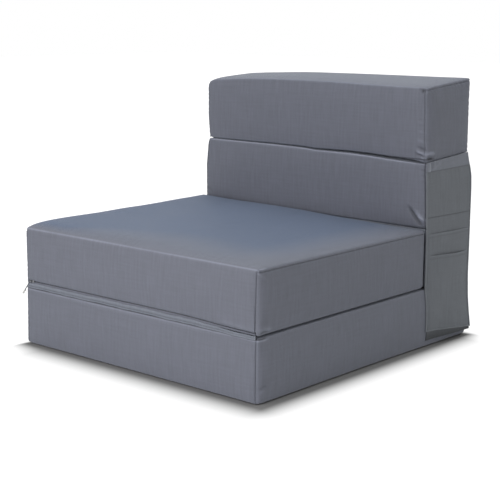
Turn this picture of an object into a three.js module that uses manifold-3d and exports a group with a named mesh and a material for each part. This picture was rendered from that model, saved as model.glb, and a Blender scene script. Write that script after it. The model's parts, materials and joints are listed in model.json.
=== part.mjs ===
// Flip-out chair bed: five covered foam blocks, joined edge to edge by sewn fabric bands.
// Folded, it is a low armless chair. Opened, the seat flips to the front and the back unfolds
// to the rear. Millimetres, +Z up, the front at -Y. Left is -X and right is +X, as seen from
// the front. The origin is the centre of the base's underside.
import * as THREE from "three";
import { mergeVertices } from "three/addons/utils/BufferGeometryUtils.js";
import Module from "manifold-3d";

const wasm = await Module();
wasm.setup();

// Blocks
const chairWidth = 700;
const baseDepth = 765;
const baseHeight = 139;
const backDepth = 170;
const backHeight = 160;
const layerGap = 0.5; // between two blocks that lie on each other
const seatRearGap = 6; // between the seat's rear face and the back's front face

// Covers
const coverWall = 2;
const seamGap = 0.3; // between pieces that are sewn or laid together
const edgeRadius = 12;
const sideCrown = 4; // how far a front or rear face swells
const topCrown = 6;
const endCrown = 4;

// Hinge bands
const bandHeight = 15;
const bandWall = 1.6;
const hiddenBandRise = 3; // of the band behind the seat above its joint, so the seat hides it

// Zip, along the seat's lower front edge
const zipEndInset = 9; // from the block's end to the zip's slot
const zipRise = 8; // from the joint under the seat up to the slot
const zipSlot = 8;
const tapeWidth = 2.3;
const tapeWall = 0.8;
const coilWidth = 2.2;
const coilDepth = 1.5;
const stopLength = 3;
const sliderLength = 11;
const sliderWall = 1.7;
const sliderFlange = 1.3;
const pinRadius = 0.7;
const pinStandoff = 2.4; // from the slider's plate out to the pull's pin
const earWall = 1.2;
const earReach = 1.1;
const eyeRadius = 2;
const eyeHeight = 2;
const pullWall = 1.4;
const neckLength = 4;
const cordLength = 24;
const cordRadius = 0.8;
const cordDroop = THREE.MathUtils.degToRad(38);
const knobLength = 7;
const knobRadius = 2;

// Organiser on the right side
const organiserInset = 2; // from the back's front and rear faces to the organiser's edges
const organiserBandHeight = 27;
const organiserWall = 1.2;
const bandThickness = 2; // of the folded top band and of the edge binding
const stripHeight = 25; // between the yoke and the seam where the panel bends
const foldRise = 1.75; // of that seam above the joint under the lower back
const foldRelief = 1.5;
const hangHeight = 242; // of the panel below that seam
const bindingWidth = 4;
const pocketRoom = 4.6; // clear depth of a pocket
const pocketInset = 3; // from the binding to a pocket's side wall
const smallPocketInset = 4; // from the large pocket's side wall to the small one's
const mouthDrop = 14; // from the seam where the panel bends to the large pocket's mouth
const pocketStep = 52; // from the large pocket's mouth to the small one's

// How far a cutter reaches past what it cuts
const overrun = 3;

// How finely round shapes are divided
const cornerShares = [0, 1 / 3, 2 / 3, 1];
const faceShares = [-0.5, 0, 0.5];
const lengthShares = [-1, -0.8, -0.4, 0, 0.4, 0.8, 1];
const endRingShares = [0, 0.2, 0.5, 0.85];
const innerRadiusShare = 0.1; // of the edge radius, at least, on an outline well inside a face
const crownPower = 2.5;
const roundSides = 12;

// Levels and depths that follow
const halfWidth = chairWidth / 2;
const frontY = -baseDepth / 2;
const rearY = baseDepth / 2;
const backFrontY = rearY - backDepth;
const seatBottom = baseHeight + layerGap;
const seatTop = 2 * baseHeight;
const lowerBottom = seatTop + layerGap;
const lowerTop = lowerBottom + backHeight;
const upperBottom = lowerTop + layerGap;
const upperTop = upperBottom + backHeight;
const tubeHalf = halfWidth - endCrown - coverWall - seamGap;

const slate = new THREE.Color(0x5f6570);
const slateDark = new THREE.Color(0x50555e);
const foamCream = new THREE.Color(0xe9dfc2);
const zipGrey = new THREE.Color(0x3f434b);
const paleMetal = new THREE.Color(0xb9bcc0);

function finish(color, roughness, metalness = 0) {
  return new THREE.MeshStandardMaterial({ color, roughness, metalness });
}

const coverCloth = finish(slate, 0.75);
const bandCloth = finish(slateDark, 0.8);
const foamFinish = finish(foamCream, 0.95);
const tapeCloth = finish(zipGrey, 0.85);
const coilNylon = finish(zipGrey, 0.45);
const sliderMetal = finish(paleMetal, 0.35, 0.9);
const pullPlastic = finish(paleMetal, 0.5);

const bed = new THREE.Group();

function place(name, geometry, material) {
  const mesh = new THREE.Mesh(geometry, material);
  mesh.name = name;
  bed.add(mesh);
  return mesh;
}

// A box from its lowest to its highest corner.
function slab(low, high) {
  const size = high.map((top, axis) => top - low[axis]);
  const middle = high.map((top, axis) => (top + low[axis]) / 2);
  return new THREE.BoxGeometry(...size).translate(...middle);
}

// A closed geometry as a solid that can be joined and cut, and back again.
function solidOf(geometry) {
  const bare = geometry.index ? geometry.toNonIndexed() : geometry.clone();
  for (const attribute of Object.keys(bare.attributes)) {
    if (attribute !== "position") bare.deleteAttribute(attribute);
  }
  const merged = mergeVertices(bare);
  const vertProperties = new Float32Array(merged.attributes.position.array);
  const triVerts = new Uint32Array(merged.index.array);
  return new wasm.Manifold(new wasm.Mesh({ numProp: 3, vertProperties, triVerts }));
}

function geometryOf(solid) {
  const { vertProperties, triVerts } = solid.getMesh();
  const geometry = new THREE.BufferGeometry();
  geometry.setAttribute("position", new THREE.BufferAttribute(vertProperties, 3));
  geometry.setIndex(new THREE.BufferAttribute(triVerts, 1));
  geometry.computeVertexNormals();
  return geometry;
}

function joined(...geometries) {
  return geometryOf(geometries.map(solidOf).reduce((whole, next) => whole.add(next)));
}

function cut(geometry, ...cutters) {
  const solid = cutters.reduce((rest, cutter) => rest.subtract(solidOf(cutter)), solidOf(geometry));
  return geometryOf(solid);
}

// How much of its full crown a face shows at a place from -1 to 1 across it.
function bulge(share) {
  return 1 - Math.abs(share) ** crownPower;
}

// The outline of a block across X as [y, z] points, anticlockwise seen from +X. Each of the
// four faces swells between its rounded corners by its crown times the given share.
function outline(block, inset, swell) {
  const low = [block.y0 + block.front + inset, block.z0 + block.bottom + inset];
  const high = [block.y1 - block.rear - inset, block.z1 - block.top - inset];
  const radius = Math.max(edgeRadius - inset, edgeRadius * innerRadiusShare);
  const corners = [
    { at: [high[0] - radius, low[1] + radius], turn: -Math.PI / 2, crown: block.rear, out: [1, 0] },
    { at: [high[0] - radius, high[1] - radius], turn: 0, crown: block.top, out: [0, 1] },
    { at: [low[0] + radius, high[1] - radius], turn: Math.PI / 2, crown: block.front, out: [-1, 0] },
    { at: [low[0] + radius, low[1] + radius], turn: Math.PI, crown: block.bottom, out: [0, -1] },
  ];
  const arcs = corners.map(({ at, turn }) =>
    cornerShares.map((share) => {
      const angle = turn + (share * Math.PI) / 2;
      return [at[0] + radius * Math.cos(angle), at[1] + radius * Math.sin(angle)];
    }),
  );
  const points = [];
  corners.forEach(({ crown, out }, side) => {
    const start = arcs[side].at(-1);
    const end = arcs[(side + 1) % corners.length][0];
    points.push(...arcs[side]);
    for (const share of faceShares) {
      const along = (share + 1) / 2;
      const lift = crown * bulge(share) * swell;
      const y = start[0] + (end[0] - start[0]) * along + out[0] * lift;
      const z = start[1] + (end[1] - start[1]) * along + out[1] * lift;
      points.push([y, z]);
    }
  });
  return points;
}

// A geometry from rings of points, each ring anticlockwise seen from +X. The rings are
// joined in order, and the last to the first where the skin closes on itself.
function skin(rings, closed) {
  const count = rings[0].length;
  const positions = rings.flat(2);
  const faces = [];
  const pairs = closed ? rings.length : rings.length - 1;
  for (let ring = 0; ring < pairs; ring += 1) {
    const here = ring * count;
    const there = ((ring + 1) % rings.length) * count;
    for (let point = 0; point < count; point += 1) {
      const next = (point + 1) % count;
      faces.push(here + point, here + next, there + next);
      faces.push(here + point, there + next, there + point);
    }
  }
  if (!closed) {
    for (let point = 1; point < count - 1; point += 1) {
      const last = (rings.length - 1) * count;
      faces.push(0, point + 1, point);
      faces.push(last, last + point, last + point + 1);
    }
  }
  const geometry = new THREE.BufferGeometry();
  geometry.setAttribute("position", new THREE.Float32BufferAttribute(positions, 3));
  geometry.setIndex(faces);
  geometry.computeVertexNormals();
  return geometry;
}

function ringAt(x, points) {
  return points.map(([y, z]) => [x, y, z]);
}

// The wrap panel: one length of cloth round the block, open at both ends.
function wrapPanel(block) {
  const outer = lengthShares.map((share) =>
    ringAt(share * tubeHalf, outline(block, 0, bulge(share))),
  );
  const inner = lengthShares.map((share) =>
    ringAt(share * tubeHalf, outline(block, coverWall, bulge(share))),
  );
  return skin([...outer, ...inner.reverse()], true);
}

// An end panel, swelling between its seams. The side is 1 at +X and -1 at -X.
function endPanel(block, side) {
  const depth = block.y1 - block.y0 - block.front - block.rear;
  const height = block.z1 - block.z0 - block.bottom - block.top;
  const reach = Math.min(depth, height) / 2;
  const seamX = tubeHalf + seamGap;
  const ring = (share, wall) => {
    const lift = endCrown * bulge(1 - share);
    return ringAt(side * (seamX + wall + lift), outline(block, share * reach, 0));
  };
  const inner = endRingShares.map((share) => ring(share, 0));
  const outer = endRingShares.map((share) => ring(share, coverWall));
  const rings = [...inner.reverse(), ...outer];
  return skin(side > 0 ? rings : rings.reverse(), false);
}

function foamBlock(block) {
  const section = outline(block, coverWall + seamGap, 0);
  return skin([ringAt(-tubeHalf, section), ringAt(tubeHalf, section)], false);
}

// How far in from a face's crown a band lies that reaches the given distance from its joint
// onto the face: it rests on the rounded edge there.
function bandSeat(reach) {
  const left = Math.max(edgeRadius - reach + layerGap / 2, 0);
  return sideCrown + edgeRadius - Math.sqrt(edgeRadius ** 2 - left ** 2) - seamGap;
}

const blocks = {
  base: {
    y0: frontY, y1: rearY, z0: 0, z1: baseHeight,
    front: sideCrown, rear: sideCrown, top: 0, bottom: 0,
  },
  seat: {
    y0: frontY, y1: backFrontY - seatRearGap, z0: seatBottom, z1: seatTop,
    front: sideCrown, rear: sideCrown, top: topCrown, bottom: 0,
  },
  riser: {
    y0: backFrontY, y1: rearY, z0: seatBottom, z1: seatTop,
    front: sideCrown, rear: sideCrown, top: 0, bottom: 0,
  },
  lower_back: {
    y0: backFrontY, y1: rearY, z0: lowerBottom, z1: lowerTop,
    front: sideCrown, rear: sideCrown, top: 0, bottom: 0,
  },
  upper_back: {
    y0: backFrontY, y1: rearY, z0: upperBottom, z1: upperTop,
    front: sideCrown, rear: sideCrown, top: topCrown, bottom: 0,
  },
};

// The zip lies in a slot through the seat's wrap, just above the front hinge band.
const seatJoint = (baseHeight + seatBottom) / 2;
const zipSeat = bandSeat(bandHeight / 2);
const zipHalf = halfWidth - zipEndInset;
const zipLow = seatJoint + zipRise;
const zipMiddle = zipLow + zipSlot / 2;
const tapeBackY = frontY + zipSeat + tapeWall / 2;
const tapeFrontY = tapeBackY - tapeWall;
const coilFrontY = tapeBackY - coilDepth;
const sliderBackY = coilFrontY - seamGap;
const sliderFrontY = sliderBackY - sliderWall;
const pinY = sliderFrontY - pinStandoff;
const sliderStartX = -zipHalf + stopLength + 2 * seamGap;
const sliderMiddleX = sliderStartX + sliderLength / 2;
const pinX = sliderStartX + eyeRadius + seamGap;

for (const [name, block] of Object.entries(blocks)) {
  let wrap = wrapPanel(block);
  if (name === "seat") {
    const slot = slab(
      [-zipHalf, frontY - overrun, zipLow],
      [zipHalf, frontY + zipSeat + coverWall + overrun, zipLow + zipSlot],
    );
    wrap = cut(wrap, slot);
  }
  place(name + "_cover_wrap", wrap, coverCloth);
  place(name + "_cover_end_left", endPanel(block, -1), coverCloth);
  place(name + "_cover_end_right", endPanel(block, 1), coverCloth);
  place(name + "_foam", foamBlock(block), foamFinish);
}

// Hinge bands bridge the joints between blocks, in the V between their rounded edges.
function hingeBand(name, faceY, inward, joint, rise) {
  const backPlane = faceY + inward * bandSeat(Math.max(rise, bandHeight - rise));
  const frontPlane = backPlane - inward * bandWall;
  const low = [-tubeHalf, Math.min(backPlane, frontPlane), joint + rise - bandHeight];
  const high = [tubeHalf, Math.max(backPlane, frontPlane), joint + rise];
  place(name, slab(low, high), bandCloth);
}

const riserJoint = (seatTop + lowerBottom) / 2;
const backJoint = (lowerTop + upperBottom) / 2;
hingeBand("front_hinge_band", frontY, 1, seatJoint, bandHeight / 2);
hingeBand("riser_hinge_band", rearY, -1, seatJoint, bandHeight / 2);
hingeBand("lower_back_hinge_band", backFrontY, 1, riserJoint, hiddenBandRise);
hingeBand("upper_back_hinge_band", rearY, -1, backJoint, bandHeight / 2);

// Zip: two tapes sewn to the slot's edges, and the coil closed between them.
const tapeGap = (zipSlot - 2 * tapeWidth - coilWidth) / 4;
const lowerTapeZ = zipLow + tapeGap;
const upperTapeZ = zipLow + zipSlot - tapeGap - tapeWidth;
const tapeHalf = zipHalf - seamGap;
for (const [name, level] of [["zip_tape_lower", lowerTapeZ], ["zip_tape_upper", upperTapeZ]]) {
  place(
    name,
    slab([-tapeHalf, tapeFrontY, level], [tapeHalf, tapeBackY, level + tapeWidth]),
    tapeCloth,
  );
}

const coilHalf = zipHalf - stopLength - 2 * seamGap;
place(
  "zip_coil",
  slab(
    [-coilHalf, coilFrontY, zipMiddle - coilWidth / 2],
    [coilHalf, tapeBackY, zipMiddle + coilWidth / 2],
  ),
  coilNylon,
);
for (const [name, side] of [["zip_stop_left", -1], ["zip_stop_right", 1]]) {
  const ends = [side * (coilHalf + seamGap), side * (coilHalf + seamGap + stopLength)];
  place(
    name,
    slab(
      [Math.min(...ends), coilFrontY, zipMiddle - coilWidth / 2],
      [Math.max(...ends), tapeBackY, zipMiddle + coilWidth / 2],
    ),
    sliderMetal,
  );
}

// The slider: a saddle over the coil with two ears and a pin for the pull.
const flangeZ = coilWidth / 2 + seamGap;
const flangeBackY = tapeFrontY - seamGap;
const earZ = eyeHeight / 2 + seamGap;
function mirroredSlabs(low, high) {
  return [1, -1].map((side) => {
    const levels = [zipMiddle + side * low[2], zipMiddle + side * high[2]];
    return slab(
      [low[0], low[1], Math.min(...levels)],
      [high[0], high[1], Math.max(...levels)],
    );
  });
}
const sliderPlate = slab(
  [sliderStartX, sliderFrontY, zipMiddle - flangeZ - sliderFlange],
  [sliderStartX + sliderLength, sliderBackY, zipMiddle + flangeZ + sliderFlange],
);
const sliderFlanges = mirroredSlabs(
  [sliderStartX, sliderFrontY, flangeZ],
  [sliderStartX + sliderLength, flangeBackY, flangeZ + sliderFlange],
);
const sliderEars = mirroredSlabs(
  [pinX - earReach, pinY - earReach, earZ],
  [pinX + earReach, sliderBackY, earZ + earWall],
);
function uprightRod(radius, length) {
  return new THREE.CylinderGeometry(radius, radius, length, roundSides).rotateX(Math.PI / 2);
}
const sliderPin = uprightRod(pinRadius, 2 * (earZ + earWall / 2)).translate(pinX, pinY, zipMiddle);
place(
  "zip_slider",
  joined(sliderPlate, ...sliderFlanges, ...sliderEars, sliderPin),
  sliderMetal,
);

// The pull: an eye round the pin, a short neck, and a drooping cord with a moulded end.
const eye = uprightRod(eyeRadius, eyeHeight);
const neck = slab(
  [-neckLength, -pullWall / 2, -cordRadius],
  [-eyeRadius / 2, pullWall / 2, cordRadius],
);
function droopingRod(radius, length, start) {
  return new THREE.CylinderGeometry(radius, radius, length, roundSides)
    .rotateZ(Math.PI / 2)
    .translate(-(start + length / 2), 0, 0)
    .rotateY(-cordDroop)
    .translate(-neckLength + cordRadius, 0, 0);
}
const pullCord = droopingRod(cordRadius, cordLength, 0);
const pullKnob = droopingRod(knobRadius, knobLength, cordLength - cordRadius);
const pullBore = uprightRod(pinRadius + seamGap, eyeHeight + overrun);
const pullBody = cut(joined(eye, neck, pullCord, pullKnob), pullBore);
place("zip_pull", pullBody.translate(pinX, pinY, zipMiddle), pullPlastic);

// Organiser: a cloth panel that hangs from the lower back's top seam, with two pockets.
const organiserX = halfWidth + seamGap;
const organiserFrontY = backFrontY + organiserInset;
const organiserRearY = rearY - organiserInset;
const organiserTop = lowerTop;
const panelX = organiserX + organiserWall;
const panelFrontY = organiserFrontY + bindingWidth + seamGap;
const panelRearY = organiserRearY - bindingWidth - seamGap;
const organiserBandBottom = organiserTop - organiserBandHeight;
const foldSeam = riserJoint + foldRise;
const yokeSeam = foldSeam + stripHeight;
const organiserBottom = foldSeam - hangHeight;
const largePocketTop = foldSeam - mouthDrop;
const smallPocketTop = largePocketTop - pocketStep;
const foldTop = foldSeam + seamGap;
const foldBottom = foldSeam - seamGap;

place(
  "organiser_top_band",
  slab(
    [organiserX, organiserFrontY, organiserBandBottom],
    [organiserX + bandThickness, organiserRearY, organiserTop],
  ),
  bandCloth,
);
place(
  "organiser_yoke",
  slab(
    [organiserX, panelFrontY, yokeSeam + seamGap],
    [panelX, panelRearY, organiserBandBottom - seamGap],
  ),
  coverCloth,
);
place(
  "organiser_strip",
  slab([organiserX, panelFrontY, foldTop], [panelX, panelRearY, yokeSeam]),
  coverCloth,
);
const bindingEdges = [
  ["front", organiserFrontY],
  ["rear", organiserRearY - bindingWidth],
];
for (const [end, y] of bindingEdges) {
  place(
    "organiser_binding_" + end,
    slab(
      [organiserX, y, foldSeam + foldRelief],
      [organiserX + bandThickness, y + bindingWidth, organiserBandBottom - seamGap],
    ),
    bandCloth,
  );
}

const hemTop = organiserBottom + bindingWidth;
place(
  "organiser_panel",
  slab([organiserX, panelFrontY, hemTop + seamGap], [panelX, panelRearY, foldBottom]),
  coverCloth,
);
const bindingLegs = bindingEdges.map(([, y]) =>
  slab(
    [organiserX, y, organiserBottom],
    [organiserX + bandThickness, y + bindingWidth, foldSeam - foldRelief],
  ),
);
const hem = slab(
  [organiserX, organiserFrontY, organiserBottom],
  [organiserX + bandThickness, organiserRearY, hemTop],
);
place("organiser_hem_binding", joined(hem, ...bindingLegs), bandCloth);

// A pocket: a front wall with side walls and a floor, sewn on, open at its mouth.
function pocket(name, backX, inset, top) {
  const frontX = backX + pocketRoom + organiserWall;
  const low = [backX, panelFrontY + inset, hemTop + seamGap];
  const high = [frontX, panelRearY - inset, top];
  const hollow = slab(
    [backX - overrun, low[1] + organiserWall, low[2] + organiserWall],
    [backX + pocketRoom, high[1] - organiserWall, top + overrun],
  );
  place(name, cut(slab(low, high), hollow), coverCloth);
  return frontX;
}
const largePocketX = panelX + seamGap;
const largeFrontX = pocket("organiser_large_pocket", largePocketX, pocketInset, largePocketTop);
pocket(
  "organiser_small_pocket",
  largeFrontX + seamGap,
  pocketInset + smallPocketInset,
  smallPocketTop,
);

export default bed;
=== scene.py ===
# Flip-out chair bed: five cloth-covered foam blocks, joined edge to edge by sewn bands, with a
# zip along the seat's lower front edge and a pocketed organiser on the right side. Metres, +Z up,
# the front at -Y, left is -X and right is +X as seen from the front.
import json
import math

import bmesh
import bpy
import numpy as np
from mathutils import Matrix, Vector
from mathutils.bvhtree import BVHTree
from mathutils.kdtree import KDTree

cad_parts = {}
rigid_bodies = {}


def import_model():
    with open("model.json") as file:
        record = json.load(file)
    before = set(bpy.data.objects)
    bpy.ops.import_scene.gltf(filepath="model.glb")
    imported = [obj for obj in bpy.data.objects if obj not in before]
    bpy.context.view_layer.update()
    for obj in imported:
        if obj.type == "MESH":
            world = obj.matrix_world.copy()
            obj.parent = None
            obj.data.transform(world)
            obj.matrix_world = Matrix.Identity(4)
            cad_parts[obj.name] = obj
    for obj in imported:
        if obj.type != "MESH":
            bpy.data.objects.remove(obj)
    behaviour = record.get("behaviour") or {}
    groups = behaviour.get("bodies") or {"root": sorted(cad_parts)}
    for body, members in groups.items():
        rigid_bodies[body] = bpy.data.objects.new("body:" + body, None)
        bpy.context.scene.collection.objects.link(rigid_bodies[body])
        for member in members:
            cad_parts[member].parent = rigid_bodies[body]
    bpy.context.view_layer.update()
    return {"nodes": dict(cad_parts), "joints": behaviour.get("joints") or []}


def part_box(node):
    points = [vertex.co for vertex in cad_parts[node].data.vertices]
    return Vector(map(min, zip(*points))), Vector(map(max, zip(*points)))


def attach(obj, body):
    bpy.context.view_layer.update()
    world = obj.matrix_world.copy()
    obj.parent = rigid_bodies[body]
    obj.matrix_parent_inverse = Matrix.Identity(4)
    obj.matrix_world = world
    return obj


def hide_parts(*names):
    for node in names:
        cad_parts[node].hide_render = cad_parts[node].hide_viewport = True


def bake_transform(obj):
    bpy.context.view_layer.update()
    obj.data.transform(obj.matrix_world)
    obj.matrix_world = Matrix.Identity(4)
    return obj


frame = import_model()
MM = 0.001
scene = bpy.context.scene


# Camera: at the photograph's viewing angle, in front and to the right, a little above the seat.
# Its lens is long and it stands far off, as upright edges stay parallel in the photograph.
camera_turn, camera_rise, camera_roll = (math.radians(a) for a in (40.96, 10.94, 0.30))
camera_range = 2.9
camera_aim = Vector((-0.002, -0.003, 0.216))
camera_back = Vector((
    math.sin(camera_turn) * math.cos(camera_rise),
    -math.cos(camera_turn) * math.cos(camera_rise),
    math.sin(camera_rise),
))
camera_data = bpy.data.cameras.new("camera")
camera_data.sensor_width = 36
camera_data.lens = 88.34
camera_data.dof.use_dof = False
camera = bpy.data.objects.new("camera", camera_data)
scene.collection.objects.link(camera)
camera_frame = (-camera_back).to_track_quat("-Z", "Y").to_matrix()
camera_frame = camera_frame @ Matrix.Rotation(camera_roll, 3, "Z")
camera.matrix_world = Matrix.Translation(camera_aim + camera_back * camera_range) @ (
    camera_frame.to_4x4()
)
scene.camera = camera


# Base block: the block that lies on the floor and carries the chair. Its cover is one wrap panel
# round the foam and two end panels, all of woven polyester, sewn together round the ends.
class Wire:
    """A socket of a material's tree: a sum on it adds Math nodes."""

    def __init__(self, tree, socket=None):
        self.tree, self.socket = tree, socket

    def node(self, kind, settings=None, sockets=None, output=0):
        made = self.tree.nodes.new(kind)
        for key, value in (settings or {}).items():
            if key == "stops":
                ramp = made.color_ramp
                while len(ramp.elements) < len(value):
                    ramp.elements.new(0.5)
                for stop, (place, colour) in zip(ramp.elements, value):
                    stop.position, stop.color = place, (*colour, 1)
            else:
                setattr(made, key, value)
        for key, value in (sockets or {}).items():
            if isinstance(value, Wire):
                self.tree.links.new(value.socket, made.inputs[key])
            else:
                made.inputs[key].default_value = value
        return Wire(self.tree, made.outputs[output])

    def sum_of(self, operation, *values, clamp=False):
        settings = {"operation": operation, "use_clamp": clamp}
        return self.node("ShaderNodeMath", settings, dict(enumerate(values)))

    def __add__(self, other):
        return self.sum_of("ADD", self, other)

    def __sub__(self, other):
        return self.sum_of("SUBTRACT", self, other)

    def __rsub__(self, other):
        return self.sum_of("SUBTRACT", other, self)

    def __mul__(self, other):
        return self.sum_of("MULTIPLY", self, other)

    def __pow__(self, other):
        return self.sum_of("POWER", self, other)

    def __abs__(self):
        return self.sum_of("ABSOLUTE", self)

    def __gt__(self, other):
        return self.sum_of("GREATER_THAN", self, other)

    __radd__, __rmul__ = __add__, __mul__

    def sine(self):
        return self.sum_of("SINE", self)

    def clipped(self):
        return self.sum_of("ADD", self, 0.0, clamp=True)

    def parts(self):
        split = self.node("ShaderNodeSeparateXYZ", sockets={0: self})
        outputs = split.socket.node.outputs
        return [Wire(self.tree, outputs[i]) for i in range(3)]

    def with_parts(self, x, y, z):
        return self.node("ShaderNodeCombineXYZ", sockets={0: x, 1: y, 2: z})

    def place(self, output=3):
        """The Object coordinates, or the normal at output 1 and the UV map at output 2."""
        return self.node("ShaderNodeTexCoord", output=output)

    def mark(self, name):
        """A number that the piece's points carry."""
        return self.node("ShaderNodeAttribute", {"attribute_name": name}, output=2)

    def noise(self, place, scale, **more):
        return self.node("ShaderNodeTexNoise", sockets={"Vector": place, "Scale": scale, **more})

    def bump(self, height, strength):
        sockets = {"Height": height, "Strength": strength, "Distance": 1.0}
        return self.node("ShaderNodeBump", sockets=sockets)

    def ramp(self, value, *stops):
        return self.node("ShaderNodeValToRGB", {"stops": stops}, {0: value})

    def mix(self, share, first, second):
        sockets = {0: share, 6: (*first, 1), 7: (*second, 1)}
        return self.node("ShaderNodeMix", {"data_type": "RGBA"}, sockets, output=2)

    def scaled(self, colour, strength):
        sockets = {0: colour, "Scale": strength}
        return self.node("ShaderNodeVectorMath", {"operation": "SCALE"}, sockets)


def new_finish(name):
    """A material and its first wire."""
    finish = bpy.data.materials.new(name)
    finish.use_nodes = True
    return finish, Wire(finish.node_tree)


def feed(finish, **sockets):
    """Sets or links the sockets of a material's shader, named with underscores."""
    tree = finish.node_tree
    for key, value in sockets.items():
        socket = tree.nodes["Principled BSDF"].inputs[key.replace("_", " ")]
        if isinstance(value, Wire):
            tree.links.new(value.socket, socket)
        else:
            socket.default_value = value
    return finish


THREAD = 0.95 * MM
WEAVE_RELIEF, STREAK_RELIEF, GATHER_RELIEF = 0.07 * MM, 0.22 * MM, 0.5 * MM
# The second colour is the blue of a painted reflection on the seat's top.
SLATE, PAINTED_REFLECTION_SLATE = (0.139, 0.148, 0.186), (0.077, 0.107, 0.177)


def woven_cloth(name, colour, flat=None, sheen=0.22, cool=False):
    """Plain-woven polyester. The weave follows the block's faces, or a flat piece's UV map,
    whose size in metres flat gives. The cover's marks gather its seams and paint light and shade
    into its colour: painted shade in seams, creases, pits, recesses and under the organiser's hem,
    rounded edges lighter from wear and a painted highlight, and a further painted highlight along
    front top edges and fold ridges. Where the blue tint is asked for, the middle of a top turns
    blue: a painted reflection."""
    finish, wire = new_finish(name)
    if flat is None:
        place = wire.place()
        x, y, z = place.parts()
        facing = wire.place(1).parts()
        on_end, on_top = abs(facing[0]) > 0.71, abs(facing[2]) > 0.71
        across, along = x + (y - x) * on_end, z + (y - z) * on_top
    else:
        place = wire.place(2)
        u, v, _ = place.parts()
        across, along = u * flat[0], v * flat[1]
    weave = (across * (math.tau / THREAD)).sine() * (along * (math.tau / THREAD)).sine()
    streaks = wire.noise(wire.with_parts(across * 190, along * 16, 0.0), 1.0) - 0.5
    cross = wire.noise(wire.with_parts(across * 13, along * 210, 0.0), 1.0) - 0.5
    mottle = wire.noise(place, 6.5 if flat is None else 4.0, Detail=3.0) - 0.5
    puckers = wire.noise(place, 95.0, Detail=1.0) - 0.5
    seam, edge, gather, rim = (wire.mark(key) for key in ("seam", "edge", "gather", "rim"))
    # Mottle is the cloth's own uneven tone. The other terms are painted light: edges lightened by
    # wear and a painted highlight, a stronger painted highlight on front top edges and fold
    # ridges, and painted shade in seams, creases and hollows.
    mottle_wear_and_painted_light = mottle * 0.14 + edge * 0.12 + rim * 1.1 - seam * 0.42
    shade = (1 + weave * 0.035 + streaks * 0.32 + cross * 0.18) * (1 + mottle_wear_and_painted_light)
    # Painted reflection: the marked middle of the top turns blue, as if it reflected a blue sky.
    colour_and_painted_reflection = wire.mix(wire.mark("cool"), colour, PAINTED_REFLECTION_SLATE) if cool else colour
    relief = weave * WEAVE_RELIEF + streaks * STREAK_RELIEF + puckers * gather * GATHER_RELIEF
    return feed(
        finish,
        Base_Color=wire.scaled(colour_and_painted_reflection, shade),
        Roughness=0.66 + mottle * 0.12 - edge * 0.05,
        Normal=wire.bump(relief, 0.85),
        Sheen_Weight=sheen,
        Sheen_Roughness=0.45,
        Sheen_Tint=(0.82, 0.90, 1.0, 1.0),
        Specular_IOR_Level=0.42,
    )


def clipped(values):
    return np.minimum(np.maximum(values, 0.0), 1.0)


def bell(away, width):
    """1 where away is nothing, and less to both sides of it."""
    return np.exp(-((away / width) ** 2))


def read_points(piece, key):
    flat = np.empty(len(piece.data.vertices) * 3)
    piece.data.vertices.foreach_get(key, flat)
    return flat.reshape(-1, 3)


def points_of(piece):
    return read_points(piece, "co")


def normals_of(piece):
    return read_points(piece, "normal")


def put_points(piece, points):
    piece.data.vertices.foreach_set("co", np.ascontiguousarray(points, float).ravel())
    piece.data.update()


def take(piece):
    """Selects one object alone."""
    if bpy.context.mode != "OBJECT":
        bpy.ops.object.mode_set(mode="OBJECT")
    bpy.ops.object.select_all(action="DESELECT")
    piece.select_set(True)
    bpy.context.view_layer.objects.active = piece


def finished_by(piece, kind, **settings):
    """Adds a modifier and applies it."""
    take(piece)
    modifier = piece.modifiers.new(kind.lower(), kind)
    for key, value in settings.items():
        setattr(modifier, key, value)
    bpy.ops.object.modifier_apply(modifier=modifier.name)


def dress(piece, finish, slot, *nodes, body=None, smooth=None):
    """Gives a piece its finish and its body, and hides the CAD nodes that it stands for. Its slot
    is not used.
    """
    if smooth:
        take(piece)
        bpy.ops.object.shade_smooth_by_angle(angle=math.radians(smooth))
    piece.data.materials.clear()
    piece.data.materials.append(finish)
    if body:
        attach(piece, body)
    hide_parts(*nodes)


def mark_points(piece, **marks):
    """Keeps numbers on the piece's points, for its finish."""
    for key, values in marks.items():
        mark = piece.data.attributes.new(key, "FLOAT", "POINT")
        mark.data.foreach_set("value", values.astype(np.float32))


def primitive(name, kind, stretch=None, **settings):
    """Adds a mesh primitive, and applies its place, turn and scale."""
    if bpy.context.mode != "OBJECT":
        bpy.ops.object.mode_set(mode="OBJECT")
    bpy.ops.object.select_all(action="DESELECT")
    getattr(bpy.ops.mesh, f"primitive_{kind}_add")(**settings)
    piece = bpy.context.active_object
    if stretch:
        piece.scale = stretch
    piece.name = piece.data.name = name
    bpy.ops.object.transform_apply(location=True, rotation=True, scale=True)
    return piece


def box_at(name, low, high):
    """A cube at a box's place and size, to be shaped further."""
    low, high = Vector(low), Vector(high)
    return primitive(name, "cube", size=1, location=(low + high) / 2, scale=high - low)


def select_edges(piece, wanted):
    """In edit mode, selects the edges that wanted(first point, second point) is true for."""
    mesh = bmesh.from_edit_mesh(piece.data)
    bpy.ops.mesh.select_mode(type="EDGE")
    bpy.ops.mesh.select_all(action="DESELECT")
    for edge in mesh.edges:
        if wanted(edge.verts[0].co, edge.verts[1].co):
            edge.select_set(True)
    bmesh.update_edit_mesh(piece.data)


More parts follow.
